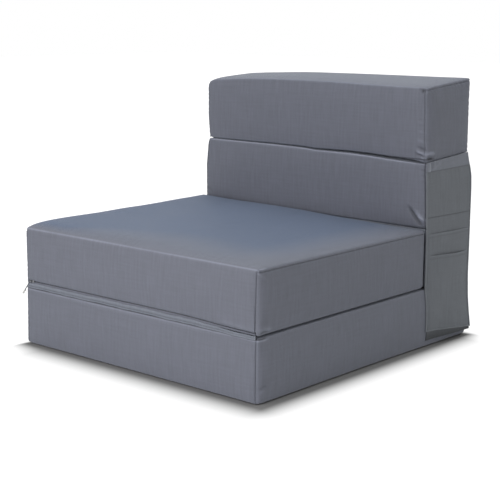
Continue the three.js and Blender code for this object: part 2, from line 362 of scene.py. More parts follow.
def divide_along(piece, axis, spacing):
    """Divides the long edges that run along an axis into lengths of about the spacing."""
    def runs(a, b):
        step = b - a
        return abs(step[axis]) > 1.6 * spacing and abs(step[axis]) > 0.97 * step.length

    lengths = sorted({
        round(abs(e.verts[1].co[axis] - e.verts[0].co[axis]), 5)
        for e in bmesh.from_edit_mesh(piece.data).edges
        if runs(e.verts[0].co, e.verts[1].co)
    })
    for length in lengths:
        select_edges(
            piece, lambda a, b: runs(a, b) and abs(abs(b[axis] - a[axis]) - length) < 2e-5
        )
        bpy.ops.mesh.subdivide(number_cuts=max(1, round(length / spacing) - 1))


END_LEFT, END_RIGHT, ZIP_SLOT = 1, 2, 3
EDGE_LOOP = 6 * MM  # from a rounded edge to the loop that keeps it crisp
COVER_WALL = 1.1 * MM


def block_box(name):
    """The lowest and highest corner of a block's cover in the frame."""
    found = [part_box(f"{name}_cover_{part}") for part in ("wrap", "end_left", "end_right")]
    return (
        np.min([np.array(low) for low, _ in found], axis=0),
        np.max([np.array(high) for _, high in found], axis=0),
    )


def cut_cover(name, low, high, round_top, round_bottom, round_side, drift, slot, top_seam, grid):
    """The cover before it is filled: a rounded box in even quads. The faces of the end panels
    are marked, and those of a zip's slot in the front. The wrap reaches over the top edge of the
    ends where top_seam is set. The front seam at the right drifts off its corner downwards."""
    cover = box_at(name, low, high)
    weights = cover.data.attributes.new("bevel_weight_edge", "FLOAT", "EDGE")
    widest = max(round_top, round_bottom, round_side)
    for edge in cover.data.edges:
        a, b = (cover.data.vertices[i].co for i in edge.vertices)
        middle = (a + b) / 2
        if abs(a.z - b.z) > 1 * MM:
            reach = round_side
        else:
            reach = round_top if middle.z > (low[2] + high[2]) / 2 else round_bottom
        weights.data[edge.index].value = reach / widest
    finished_by(
        cover, "BEVEL", limit_method="WEIGHT", width=widest, segments=2, use_clamp_overlap=False
    )
    bpy.ops.object.mode_set(mode="EDIT")
    loops = [
        (0, low[0] + round_side + EDGE_LOOP), (0, high[0] - round_side - EDGE_LOOP),
        (1, low[1] + round_side + EDGE_LOOP), (1, high[1] - round_side - EDGE_LOOP),
        (2, low[2] + round_bottom + EDGE_LOOP), (2, high[2] - round_top - EDGE_LOOP),
    ]
    if slot:
        loops += [(0, slot[0]), (0, slot[1]), (2, slot[2]), (2, slot[3])]
    for axis, place in loops:
        bpy.ops.mesh.select_all(action="SELECT")
        at, along = [0.0] * 3, [0.0] * 3
        at[axis], along[axis] = place, 1.0
        bpy.ops.mesh.bisect(plane_co=at, plane_no=along, threshold=1e-5)
    for axis in range(3):
        divide_along(cover, axis, grid)
    bpy.ops.object.mode_set(mode="OBJECT")
    for face in cover.data.polygons:
        x, y, z = face.center
        if z < high[2] - (round_top if top_seam else 0):
            if x > high[0] - round_side:
                face.material_index = END_RIGHT
            elif x < low[0] + round_side:
                face.material_index = END_LEFT
            elif slot and y < low[1] + 1 * MM and slot[0] < x < slot[1] and slot[2] < z < slot[3]:
                face.material_index = ZIP_SLOT
    points = points_of(cover)
    at_seam = (np.abs(points[:, 0] - (high[0] - round_side)) < 0.1 * MM) & (
        points[:, 1] < low[1] + 1 * MM
    )
    fall = 1 - (points[:, 2] - low[2]) / (high[2] - low[2])
    points[:, 0] += np.where(at_seam, drift * (0.35 - fall), 0.0)
    put_points(cover, points)
    return cover


HELD_EDGE, SWELL_FRAMES, PLAIN_SWELL = 5 * MM, 20, 6 * MM


def swell(cover, low, high, reach):
    """Fills the cover: cloth under pressure from inside, held along its edges by their seams,
    and kept by the foam within the given reach on each side."""
    before, outward = points_of(cover), normals_of(cover)
    take(cover)
    near = np.sort(np.concatenate([before - low, high - before], axis=1), axis=1)[:, 1]
    held = cover.vertex_groups.new(name="held")
    held.add([int(i) for i in np.flatnonzero(near < HELD_EDGE)], 1.0, "REPLACE")
    cloth = cover.modifiers.new("swell", "CLOTH")
    settings = cloth.settings
    settings.use_pressure = True
    settings.uniform_pressure_force = 4
    settings.effector_weights.gravity = 0
    settings.quality = 4
    settings.vertex_group_mass = "held"
    settings.tension_stiffness = settings.compression_stiffness = 12
    settings.bending_stiffness = 0.6
    cloth.point_cache.frame_start, cloth.point_cache.frame_end = 1, SWELL_FRAMES
    for step in range(1, SWELL_FRAMES + 1):
        scene.frame_set(step)
    bpy.ops.object.modifier_apply(modifier="swell")
    scene.frame_set(1)
    cover.vertex_groups.clear()
    moved = points_of(cover) - before
    limit = np.where(moved > 0, reach[1], reach[0])
    put_points(cover, before + np.tanh(moved / limit) * limit)


def wavy(along, wavelength, phase=0.0):
    """An uneven wave of about the given wavelength, from -1 to 1."""
    turn = math.tau / wavelength
    return np.sin(turn * along + 1.3 * np.sin(0.31 * turn * along + phase) + phase)


def seam_places(cover):
    """How far each point is from the nearest seam between two panels."""
    panel = np.array([face.material_index % ZIP_SLOT for face in cover.data.polygons])
    first, at_seam = {}, set()
    for face in cover.data.polygons:
        for key in face.edge_keys:
            other = first.setdefault(key, panel[face.index])
            if other != panel[face.index]:
                at_seam.update(key)
    points = points_of(cover)
    tree = KDTree(len(at_seam))
    for i in at_seam:
        tree.insert(points[i], i)
    tree.balance()
    return np.array([tree.find(p)[2] for p in points])


def crease(points, normals, facing, start, end, depth, width):
    """How far each point on the facing side moves along its normal for one fold in the cloth,
    from start to end: below zero is a valley."""
    start, end = np.array(start), np.array(end)
    run = end - start
    share = clipped((points - start) @ run / (run @ run))
    aside = points - start - share[:, None] * run
    away = np.linalg.norm(aside - np.outer(aside @ np.array(facing), facing), axis=1)
    fade = np.sin(math.pi * np.clip(share, 0.02, 0.98)) ** 0.6
    towards = clipped(normals @ np.array(facing))
    return depth * fade * bell(away, width) * towards


def cut_panels(cover, name):
    """Opens a zip's slot and separates the end panels from the wrap. Gives each panel with its
    name and its CAD node."""
    panels = []
    for index, side in ((ZIP_SLOT, ""), (END_LEFT, "left"), (END_RIGHT, "right")):
        take(cover)
        bpy.ops.object.mode_set(mode="EDIT")
        bpy.ops.mesh.select_mode(type="FACE")
        bpy.ops.mesh.select_all(action="DESELECT")
        mesh = bmesh.from_edit_mesh(cover.data)
        for face in mesh.faces:
            face.select_set(face.material_index == index)
        bmesh.update_edit_mesh(cover.data)
        if index == ZIP_SLOT:
            bpy.ops.mesh.delete(type="FACE")
            continue
        bpy.ops.mesh.separate(type="SELECTED")
        bpy.ops.object.mode_set(mode="OBJECT")
        panel = next(o for o in bpy.context.selected_objects if o is not cover)
        panels.append((panel, f"{name}_end_panel_{side}", f"{name}_cover_end_{side}"))
    return [*panels, (cover, f"{name}_wrap_panel", f"{name}_cover_wrap")]


SEAM_GROOVE, SEAM_LIP, GATHER_REACH = 1.4 * MM, 2.5 * MM, 9 * MM
# Folds paint light into the cloth: painted shade in their valleys and a painted highlight on their
# ridges, full at this height.
FOLD_SHADE = 3 * MM  # the height of a fold that marks the cloth fully


def sewn_block(
    name, round_top, round_bottom, crown_top=0.0, drift=0.0, gathers=0.7 * MM, folds=(),
    settle=None, slot=None, rear_out=0.0, crowns=(4.0, 3.5, 3.5), top_seam=False,
    round_side=7 * MM, shine=1.0, cloth=None, grid=20 * MM, seam_shade=1.0, seam_width=0.9 * MM,
    glint=None, shadow_line=None, pits=(),
):
    """One block's cover, filled, with seams, gathers and folds, cut into its three panels.
    Crowns are how far the ends, front and rear swell, in millimetres, settle gives the points'
    places after the block has settled in the stack, and shine is how strong the painted highlight
    along its front top edge is."""
    low, high = block_box(name)
    start_low = low + np.array([0.5, 0.5, 0.25]) * MM
    start_high = high - np.array([0.5, 0.5 - rear_out / MM, 0.25]) * MM
    reach_low = np.array([crowns[0], crowns[1], 0.25]) * MM
    reach_high = np.array([crowns[0], crowns[2], 0.25]) * MM
    if crown_top:
        start_high[2] -= 0.5 * crown_top
        reach_high[2] += crown_top
    cover = cut_cover(
        f"{name}_cover", start_low, start_high, round_top, round_bottom, round_side, drift, slot,
        top_seam, grid,
    )
    swell(cover, start_low, start_high, (reach_low, reach_high))
    finished_by(cover, "SUBSURF", levels=2, render_levels=2)
    points, normals = points_of(cover), normals_of(cover)
    seam = seam_places(cover)
    x, y, z = points.T
    run = x + y + z
    slack = 0.5 * wavy(x + 0.4 * z, 0.31, 0.7) + 0.5 * wavy(y - 0.6 * z, 0.23, 2.1)
    flat_side = np.abs(normals[:, 2]) > 0.8
    if crown_top:
        flat_side &= normals[:, 2] < 0
    shift = np.where(flat_side, 0.0, 0.45 * MM * slack)
    shift -= 0.9 * MM * bell(seam, SEAM_GROOVE)
    shift += 0.35 * MM * bell(seam - 4.5 * MM, SEAM_LIP)
    pucker = clipped(wavy(run, 13 * MM)) * (0.55 + 0.45 * wavy(run, 0.14, 1.1))
    shift -= gathers * pucker * bell(seam, GATHER_REACH)
    folded = np.zeros(len(points))
    for fold in folds:
        folded += crease(points, normals, *fold)
    points += normals * (shift + folded)[:, None]
    # Pits are dents whose tone darkens the cloth in them: painted shade.
    painted_pit_shade = np.zeros(len(points))
    for place, radius, depth, tone in pits:
        near = bell(np.linalg.norm(points - np.array(place), axis=1), radius)
        points -= normals * (near * depth)[:, None]
        painted_pit_shade += near * tone
    points[:, 2] = np.clip(points[:, 2], low[2], high[2] + 4 * MM)
    nearness = np.sort(np.concatenate([points - low, high - points], axis=1), axis=1)[:, 1]
    if settle:
        points = settle(points)
    put_points(cover, points)
    on_top = clipped((points[:, 2] - high[2] + 14 * MM) / (6 * MM))
    at_front = clipped((low[1] + 30 * MM - points[:, 1]) / (10 * MM))
    from_front, from_right = points[:, 1] - low[1], high[0] - points[:, 0]
    # A painted highlight runs along the front top edge, or along a given level for a glint.
    # Painted shade lies in the pits and along a given line: a painted shadow line under a band or
    # in a joint's recess.
    highlight_offset, painted_shade = (nearness - 0.3 * round_top) / (2.2 * MM), painted_pit_shade
    if glint:
        highlight_offset = (points[:, 2] - glint) / (1.5 * MM)
    if shadow_line:
        painted_shade = 1.9 * bell(points[:, 2] - shadow_line, 1.3 * MM) * at_front
        painted_shade += painted_pit_shade
    soften = 0.025 + 0.13 * clipped((points[:, 0] + 0.25) / 0.3)
    # The marks carry painted light: painted shade in the seams, pits, fold valleys and shadow
    # line, rounded edges lighter from wear and a painted highlight, a painted highlight on the
    # front top edge and fold ridges, and the blue middle of the top, a painted reflection.
    mark_points(
        cover,
        seam=bell(seam, seam_width) * seam_shade + painted_shade
        + 0.9 * np.clip(-folded / FOLD_SHADE, 0, 1.2),
        gather=bell(seam, 11 * MM),
        edge=clipped(1.25 - nearness / (7 * MM)),
        rim=np.exp(-(highlight_offset**2)) * on_top * at_front * shine
        + 0.5 * np.clip(folded / FOLD_SHADE, 0, 1.4),
        # The middle of the top, away from its front and right edges: a painted blue reflection.
        cool=on_top * clipped((from_front - 0.008) / soften) * clipped((from_right - 0.01) / 0.12),
    )
    take(cover)
    bpy.ops.object.shade_smooth()
    for panel, panel_name, node in cut_panels(cover, name):
        panel.name = panel.data.name = panel_name
        for face in panel.data.polygons:
            face.material_index = 0
        finished_by(panel, "SOLIDIFY", thickness=COVER_WALL, offset=-1, use_rim=True)
        dress(panel, cloth or cover_cloth, "cover_cloth", node, body=name)
        skins[panel_name] = BVHTree.FromObject(panel, bpy.context.evaluated_depsgraph_get())


skins = {}
cover_cloth = woven_cloth("slate_woven_cover", SLATE)

HALF_WIDTH, FRONT, BACK_FRONT = 0.350, -0.3825, 0.2125
BASE_TOP = 0.139


def front_folds(y, *rows):
    """Folds on a front face, from x, z to x, z, with their height and width in millimetres."""
    return [
        ((0, -1, 0), (x0, y, z0), (x1, y, z1), height * MM, width * MM)
        for x0, z0, x1, z1, height, width in rows
    ]


def side_folds(x, *rows):
    """Folds on a right end, from y, z to y, z, with their height and width in millimetres."""
    return [
        ((1, 0, 0), (x, y0, z0), (x, y1, z1), height * MM, width * MM)
        for y0, z0, y1, z1, height, width in rows
    ]


base_folds = front_folds(FRONT, (-0.335, 0.1285, 0.310, 0.1280, 0.9, 2.6)) + side_folds(
    HALF_WIDTH,
    (-0.378, 0.030, -0.356, 0.040, -1.8, 3.0),
    (-0.378, 0.024, -0.360, 0.031, 1.3, 3.0),
    (-0.376, 0.130, -0.350, 0.1335, 1.0, 3.0),
)


LEFT_SPREAD = 15 * MM


def spread_left(points):
    """Spreads the left end outwards at the front, where nothing holds the blocks in line."""
    x, y, _ = points.T
    front = clipped((0.15 - y) / 0.53)
    points[:, 0] -= LEFT_SPREAD * clipped((-x - 0.25) / 0.1) ** 1.5 * front
    return points


def soften_corner(points, depth, corner=(HALF_WIDTH, FRONT)):
    """Draws a front right upright edge in, as slack cloth rounds it."""
    aside = np.maximum(corner[0] - points[:, 0], points[:, 1] - corner[1])
    inward = depth * bell(clipped(aside), 11 * MM)
    points[:, 0] -= 0.7 * inward
    points[:, 1] += 0.7 * inward
    return points


def settle_base(points):
    """Spreads the base under the load: the left end at the front, and the rear right corner."""
    x, y, z = points.T
    right, rear = clipped((x - 0.25) / 0.1), clipped(y / 0.38)
    foot = 1 - clipped(z / BASE_TOP) * 0.5
    along, back = 7.5 * MM * right * rear * foot, 6 * MM * right * rear**2 * foot
    left_foot = clipped((-x - 0.25) / 0.1) * (1 - clipped(z / BASE_TOP))
    points = soften_corner(points, 4 * MM * clipped((0.130 - z) / 0.02))
    points[:, 0] += along - 4 * MM * left_foot
    points[:, 1] += back
    return spread_left(points)


# Painted light on the base: a painted highlight along its front just under the front band, and a
# painted shadow line right under the band's lower edge.
sewn_block(
    "base", round_top=6 * MM, round_bottom=7 * MM, drift=2 * MM, folds=base_folds,
    settle=settle_base, round_side=6 * MM, glint=0.1318, shadow_line=0.1350, shine=0.6,
)


# Foam core: one block of open-cell foam inside each cover. It is cut to size from a larger block
# and pushed into the cover, which then takes its shape.
def foam_finish():
    finish, wire = new_finish("open_cell_foam")
    place = wire.place()
    cells = wire.node("ShaderNodeTexVoronoi", sockets={"Vector": place, "Scale": 520.0})
    tone = (cells * 0.55 + wire.noise(place, 9.0) * 0.5).clipped()
    return feed(
        finish,
        Base_Color=wire.ramp(tone, (0.0, (0.62, 0.53, 0.33)), (1.0, (0.83, 0.76, 0.56))),
        Roughness=0.92,
        Normal=wire.bump(cells * (0.6 * MM), 0.8),
    )


open_cell_foam = foam_finish()


def foam_core(name, settle=None):
    low, high = (np.array(corner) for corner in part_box(f"{name}_foam"))
    low, high = low + 2.5 * MM, high - 2.5 * MM
    core = box_at(f"{name}_foam_core", low, high)
    finished_by(core, "BEVEL", width=9 * MM, segments=3)
    bpy.ops.object.mode_set(mode="EDIT")
    for axis in range(3):
        divide_along(core, axis, 48 * MM)
    bpy.ops.object.mode_set(mode="OBJECT")
    points = points_of(core)
    points += normals_of(core) * (0.5 * MM * wavy(points.sum(axis=1), 0.21))[:, None]
    put_points(core, settle(points) if settle else points)
    dress(core, open_cell_foam, "foam", f"{name}_foam", body=name, smooth=40)


foam_core("base", settle_base)


# Riser block: the hidden block behind the seat, on the base's rear. It is a foam core in a sewn
# cover, as the base is, and lifts the back to the seat's level.
sewn_block(
    "riser", round_top=6 * MM, round_bottom=7 * MM, gathers=0.5 * MM, crowns=(4.0, 1.0, 3.5)
)
foam_core("riser")


# Seat block: lies on the base. Its wrap reaches over the top edges onto the ends, where the end
# seams run, and its crowned top is drawn smooth and tight.
seat_folds = front_folds(FRONT, (0.250, 0.162, 0.338, 0.157, 0.9, 3.5)) + side_folds(
    HALF_WIDTH,
    (-0.380, 0.158, -0.340, 0.151, 1.8, 3.5),
    (-0.380, 0.152, -0.350, 0.146, -1.8, 2.6),
    (-0.378, 0.266, -0.360, 0.254, 1.0, 3.0),
)
ZIP_LEVEL = 151.25 * MM
SLIDER_X = -332 * MM


SEAT_RISE = (  # of the filled top, from left to right, in millimetres
    (-0.350, -0.240, -0.120, 0.0, 0.100, 0.220, 0.300, 0.350),
    (12.0, 12.0, 12.0, 11.5, 8.5, 4.5, 2.5, 1.5),
)
SEAT_REAR_RISE = ((-0.350, -0.240, 0.0, 0.1), (6.5, 4.5, 2.0, 0.0))


def settle_seat(points):
    """Fills the top out behind its front edge, more to the left, where nothing holds it down."""
    x, y, z = points.T
    filled = 1 - np.exp(-clipped(y + 0.3800) / 0.024)
    back = clipped((y + 0.38) / 0.58) ** 2
    rise = np.interp(x, *SEAT_RISE) * filled + np.interp(x, *SEAT_REAR_RISE) * back
    points[:, 2] += rise * MM * clipped((z - 0.2) / 0.078) ** 4
    held = clipped((z - 0.160) / 0.02) * (1 - 0.4 * clipped((z - 0.262) / 0.016))
    return spread_left(soften_corner(points, 4.5 * MM * held))


def zip_droop(x):
    """How far the zip's line sags towards its right end."""
    share = clipped((x - 0.12) / 0.2)
    return 4.5 * MM * share * share * (3 - 2 * share)


def settle_seat_cover(points):
    """Turns the zip slot's edges in over the zip, and spreads them round the slider."""
    front = (points[:, 1] < -0.372) & (np.abs(points[:, 0]) < 0.3425)
    away = points[:, 2] - ZIP_LEVEL
    near = bell(away, 2.4 * MM) * front
    points[:, 1] += 2.6 * MM * near
    spread = 0.1 * MM + 1.9 * MM * bell(points[:, 0] - SLIDER_X, 8 * MM)
    points[:, 2] += np.sign(away) * spread * near
    reach = np.where(away > 0, 14 * MM, 7 * MM)
    outer = clipped((-0.366 - points[:, 1]) / (8 * MM))
    points[:, 2] -= zip_droop(points[:, 0]) * bell(away, reach) * outer
    return settle_seat(points)


# The seat's cloth turns the middle of its top blue: a painted reflection.
seat_cloth = woven_cloth("slate_seat_cover", SLATE, cool=True, sheen=0.16)
# Its front top edge gets a strong painted highlight, and the pit at its front right top corner is
# a dent darkened with painted shade.
sewn_block(
    "seat", round_top=7 * MM, round_bottom=9 * MM, crown_top=3 * MM, drift=7 * MM,
    folds=seat_folds, slot=(-0.341, 0.341, ZIP_LEVEL - 0.5 * MM, ZIP_LEVEL + 0.5 * MM),
    rear_out=2.5 * MM, crowns=(4.0, 3.5, 1.0), settle=settle_seat_cover, top_seam=True,
    shine=1.2, cloth=seat_cloth, pits=[((0.3505, -0.3765, 0.2735), 3.5 * MM, 1 * MM, 1.5)],
)
foam_core("seat", settle_seat)


# Lower back block: stands on the riser, and its ends draw in towards its top. A fold runs into
# its lower right corner, where the cover is caught behind the seat.
JOINT_RISE = (  # of the joint's front edge over its CAD level, from left to right, in millimetres
    (-0.350, -0.120, -0.030, 0.020, 0.120, 0.180, 0.233, 0.330, 0.350),
    (5.2, 4.8, 3.4, 0.6, 0.6, -1.4, -4.4, -8.4, -9.0),
)
JOINT_REAR_RISE = 4.6 * MM


def rear_share(y):
    return clipped((y - BACK_FRONT) / 0.17)


def joint_rise(x, y):
    rear = rear_share(y)
    return np.interp(x, *JOINT_RISE) * MM * (1 - rear) + JOINT_REAR_RISE * rear


def drawn_in(points, left, right):
    """Moves a block's ends inwards by left and right, in millimetres."""
    x = points[:, 0]
    points[:, 0] += MM * left * clipped(-x / HALF_WIDTH) ** 3
    points[:, 0] -= MM * right * clipped(x / HALF_WIDTH) ** 3
    return points


def settle_lower(points):
    x, y, z = points.T
    lift = joint_rise(x, y) * clipped((z - 0.2785) / 0.16)
    left = np.interp(z, (0.30, 0.37, 0.424, 0.4385), (4.5, 4.5, 10.5, 15.0))
    right = np.interp(z, (0.29, 0.324, 0.37, 0.416, 0.4385), (0.0, 0.5, 2.5, 5.5, 6.0))
    points = drawn_in(points, left, right * (1 - 0.5 * rear_share(y)))
    points[:, 2] += lift
    return points


lower_back_folds = front_folds(
    BACK_FRONT,
    (0.298, 0.330, 0.334, 0.284, -5.5, 4.5),
    (0.316, 0.322, 0.346, 0.292, 3.0, 5.0),
    (0.328, 0.307, 0.348, 0.300, 3.4, 3.0),
    (0.330, 0.424, 0.346, 0.418, -1.2, 2.6),
    (0.332, 0.410, 0.346, 0.406, -1.1, 2.4),
    (0.334, 0.396, 0.346, 0.393, -0.9, 2.4),
    (-0.344, 0.312, -0.322, 0.300, -1.3, 4.0),
)
# Its seams carry stronger, wider painted shade, and its front top edge a painted highlight.
sewn_block(
    "lower_back", round_top=5 * MM, round_bottom=7 * MM, folds=lower_back_folds,
    settle=settle_lower, crowns=(5.0, 3.0, 3.5), round_side=5 * MM, shine=1.2, grid=12 * MM,
    seam_shade=1.3, seam_width=2.2 * MM,
)
foam_core("lower_back", settle_lower)


# Upper back block: the top of the back, crowned, with its cover gathered round the ends' seams
# and pinched at the lower right corner.
upper_back_folds = front_folds(
    BACK_FRONT,
    (0.320, 0.463, 0.350, 0.455, 5.0, 2.8),
    (0.316, 0.456, 0.344, 0.456, -3.4, 2.6),
    (0.322, 0.472, 0.348, 0.466, -3.0, 2.8),
    (0.330, 0.450, 0.350, 0.449, 3.6, 2.4),
    (0.322, 0.486, 0.342, 0.484, 1.5, 2.6),
    (0.324, 0.505, 0.342, 0.504, 1.1, 2.4),
    (0.324, 0.524, 0.342, 0.523, 0.9, 2.4),
) + side_folds(
    0.347,
    (0.213, 0.459, 0.240, 0.457, 5.0, 2.8),
    (0.213, 0.449, 0.234, 0.447, -3.6, 2.6),
) + [((0, -0.7, 0.7), (0.322, 0.214, 0.594), (0.346, 0.218, 0.586), -2.6 * MM, 3 * MM)]


TOP_FRONT_RISE = (  # of the top's front edge, from left to right, in millimetres
    (-0.350, -0.290, -0.252, -0.212, -0.171, -0.128, -0.08, 0.061, 0.105, 0.178, 0.227, 0.35),
    (0.0, 2.5, 5.0, 7.0, 8.5, 9.5, 10.0, 10.0, 9.0, 7.3, 6.5, 6.0),
)
TOP_REAR_RISE = (
    (-0.350, -0.312, -0.263, -0.215, -0.167, -0.120, -0.075, 0.350),
    (9.0, 11.5, 14.0, 15.8, 18.3, 20.3, 21.2, 23.3),
)


def settle_upper(points):
    """Crowns the top, higher at the rear, lays the underside on the joint, and draws in the
    ends. The front lower edge is up a little to the right of the middle, where the joint gapes."""
    x, y, z = points.T
    rear, up = rear_share(y), clipped((z - 0.439) / 0.16)
    top = np.interp(x, *TOP_FRONT_RISE) * (1 - rear) + np.interp(x, *TOP_REAR_RISE) * rear
    lift = joint_rise(x, y) * (1 - up) + top * MM * up
    gape = np.interp(x, (-0.17, 0.02, 0.10, 0.20, 0.31, 0.338), (0.0, 1.6, 3.0, 4.6, 4.2, 0.6))
    lift += MM * gape * np.exp(-((rear / 0.16) ** 2 + (up / 0.10) ** 2))
    left = np.interp(z, (0.440, 0.451, 0.477, 0.503, 0.6), (15.0, 14.0, 11.5, 9.5, 8.5))
    right = np.interp(z, (0.440, 0.507, 0.553, 0.6), (5.5, 8.5, 10.0, 12.5))
    outer, upper = clipped((-x - 0.318) / 0.030), clipped((z - 0.570) / 0.028)
    dip = 8 * MM * outer**2 * upper * (1 - 0.7 * rear)
    points = drawn_in(points, left + 6 * upper**2, right * (1 - rear) - 1.2 * rear)
    corner = np.linalg.norm(points - np.array((HALF_WIDTH, BACK_FRONT, 0.602)), axis=1)
    pinch = bell(corner, 13 * MM)
    points[:, 2] += lift - dip - 5 * MM * pinch
    points[:, 1] += 3 * MM * pinch
    return soften_corner(points, 3 * MM * clipped((z - 0.462) / 0.02), (0.345, BACK_FRONT))


# A painted shadow line darkens its lower front edge in the joint's recess, and the pit near its
# top right front corner is a dent darkened with painted shade. Its front top edge gets a weak
# painted highlight.
sewn_block(
    "upper_back", round_top=6 * MM, round_bottom=4 * MM, crown_top=3 * MM, gathers=1.3 * MM,
    folds=upper_back_folds, settle=settle_upper, top_seam=True, shine=0.6, grid=11 * MM,
    seam_shade=0.5, shadow_line=0.4395, pits=[((0.336, BACK_FRONT, 0.589), 4.5 * MM, 3.5 * MM, 1.5)],
)
foam_core("upper_back", settle_upper)


# Hinge bands: flat bands of the same cloth, folded double and sewn to both blocks of a joint,
# corner to corner, so that the blocks turn about it.
def strip_at(name, low, high, facing, cells):
    """A grid stood upright along X, from low to high, facing -Y or +Y."""
    low, high = Vector(low), Vector(high)
    return primitive(
        name, "grid", stretch=(high.x - low.x, high.z - low.z, 1), x_subdivisions=cells[0],
        y_subdivisions=cells[1], size=1, calc_uvs=True, location=(low + high) / 2,
        rotation=(math.radians(90 * -facing), 0, 0),
    )


band_cloth = woven_cloth("slate_band_cloth", (0.166, 0.182, 0.222), flat=(0.688, 0.015))


AHEAD_OF_BACK, CLEAR_OF_BED = 0.12, 0.6


def cover_face(block, x, z, facing):
    """How far out the cover's front or rear face lies at a place."""
    behind_seat = facing < 0 and block in ("riser", "lower_back")
    start = AHEAD_OF_BACK if behind_seat else facing * CLEAR_OF_BED
    at = Vector((x, start, z))
    panels = (f"{block}_wrap_panel", f"{block}_end_panel_left", f"{block}_end_panel_right")
    inward = Vector((0, -facing, 0))
    found = [skins[panel].ray_cast(at, inward, CLEAR_OF_BED)[0] for panel in panels]
    return max((place.y for place in found if place is not None), key=lambda y: y * facing)


BAND_REACH = 7.5  # to both sides of its joint, in millimetres
BAND_ROWS = np.array([-7.5, -6.2, -4.6, -2.6, -0.4, 0.4, 2.6, 4.6, 6.2, 7.5])


def hinge_band(
    node, bodies, facing, lift=0.0, upper=BAND_REACH, lower=BAND_REACH, bow=0.7, waves=1.0,
    drawn=1.0, settle=None, lip=0.0,
):
    """A band over a joint: wavy along its length, with hemmed ends, its edges on the two wraps.
    Facing is -1 at the front and 1 at the rear, upper and lower are its reach from the joint in
    millimetres, and drawn shortens it where the blocks' ends are drawn in."""
    low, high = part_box(node)
    joint = next(
        j["pos_m"][2] for j in frame["joints"] if {j["parent"], j["child"]} == set(bodies)
    ) + lift
    half = BAND_REACH * MM
    band = strip_at(
        f"{node}_cloth", (low.x, low.y, joint - half), (high.x, low.y, joint + half), facing,
        (172, len(BAND_ROWS) - 1),
    )
    points = points_of(band)
    levels = points[:, 2].round(6)
    row = BAND_ROWS[np.searchsorted(np.unique(levels), levels)]
    across = row / BAND_REACH
    x = points[:, 0]
    end = clipped((np.abs(x) - (high.x - 7 * MM)) / (1 * MM))
    drop = 1.6 * clipped((x - 0.16) / 0.14) - 0.8 * bell(x + 0.05, 0.2)
    level = (0.5 * wavy(x, 0.17) + 0.35 * wavy(x, 0.061, 1.4)) * (1 - end) - drop
    sagging = upper - waves * zip_droop(x) * 0.7 / MM
    reach = np.where(row > 1, sagging, np.where(row < -1, lower, BAND_REACH))
    points[:, 2] = joint + across * reach * MM + waves * level * MM * (np.abs(row) > 1)
    feet = {}
    for place in sorted(set(x.round(4))):
        on_face = min(max(place, -0.341), 0.338) * drawn
        feet[place] = (
            cover_face(bodies[0], on_face, joint - (BAND_REACH + 1) * MM, facing),
            cover_face(
                bodies[1], on_face, joint + (upper + 1.5) * MM - waves * zip_droop(place), facing
            ),
        )
    foot = np.array([feet[place] for place in x.round(4)])
    share = (across + 1) / 2
    ridge = bell(np.abs(across) - 0.62, 0.2)
    outward = bow * (0.2 + ridge) + 0.25 * wavy(x + 3 * points[:, 2], 0.045, 0.5)
    outward += 0.4 * end + 0.9 + lip * (across < -0.8)
    points[:, 1] = foot[:, 0] * (1 - share) + foot[:, 1] * share + facing * outward * MM
    points[:, 0] = x * drawn
    put_points(band, settle(points) if settle else points)
    # Painted light on the band: a painted highlight on its two ridges, and painted shade along its
    # middle crease and, where lip is set, under its lower edge as a shadow line.
    painted_band_shade = 0.6 * bell(across, 0.14) + lip * (across < -0.8)
    mark_points(band, edge=1.6 * ridge, seam=painted_band_shade)
    finished_by(band, "SOLIDIFY", thickness=1.0 * MM, offset=-1, use_rim=True)
    dress(band, band_cloth, "band_cloth", node, smooth=50)
    joint - 0.36 * MM
    joint + 0.36 * MM
    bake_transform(band)


hinge_band(
    "front_hinge_band", ("base", "seat"), -1, lower=3.8, bow=1.3, settle=spread_left, lip=1.2
)
hinge_band("riser_hinge_band", ("base", "riser"), 1, waves=0.4)
hinge_band(
    "lower_back_hinge_band", ("riser", "lower_back"), -1, upper=1.6, lower=10.5, waves=0.3, bow=0
)
hinge_band(
    "upper_back_hinge_band", ("lower_back", "upper_back"), 1, lift=JOINT_REAR_RISE, drawn=0.95,
    waves=0.4,
)


# Zip: two woven tapes sewn under the edges of a slot just above the front band, with a nylon
# coil closed between them and a stop clamped at each end.
def tape_finish():
    finish, wire = new_finish("zip_tape_weave")
    u, v, _ = wire.place(2).parts()
    ribs = (u * (0.68 * math.tau / (0.9 * MM)) + v * 9).sine()
    return feed(
        finish,
        Base_Color=wire.scaled((0.095, 0.103, 0.126), 1 + ribs * 0.12),
        Roughness=0.8,
        Normal=wire.bump(ribs * (0.12 * MM), 0.8),
    )


def coil_finish():
    finish, wire = new_finish("zip_coil_nylon")
    drift = wire.noise(wire.place(), 60.0)
    tone = wire.ramp(drift, (0.3, (0.070, 0.076, 0.093)), (0.7, (0.100, 0.108, 0.130)))
    return feed(finish, Base_Color=tone, Roughness=0.38 + drift * 0.1)


def on_zip_line(piece):
    """Moves a piece of the zip to where the seat's settled front edge carries it."""
    points = points_of(piece)
    points[:, 2] -= zip_droop(points[:, 0])
    put_points(piece, spread_left(points))


zip_tape_weave, zip_coil_nylon = tape_finish(), coil_finish()
for node in ("zip_tape_lower", "zip_tape_upper"):
    low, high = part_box(node)
    tape = strip_at(f"{node}_woven", low, (high.x, low.y, high.z), -1, (150, 4))
    points = points_of(tape)
    points[:, 1] += 0.12 * MM * wavy(points[:, 0], 0.05)
    put_points(tape, points)
    on_zip_line(tape)
    finished_by(tape, "SOLIDIFY", thickness=0.7 * MM, offset=-1, use_rim=True)
    dress(tape, zip_tape_weave, "zip_tape", node, body="seat")

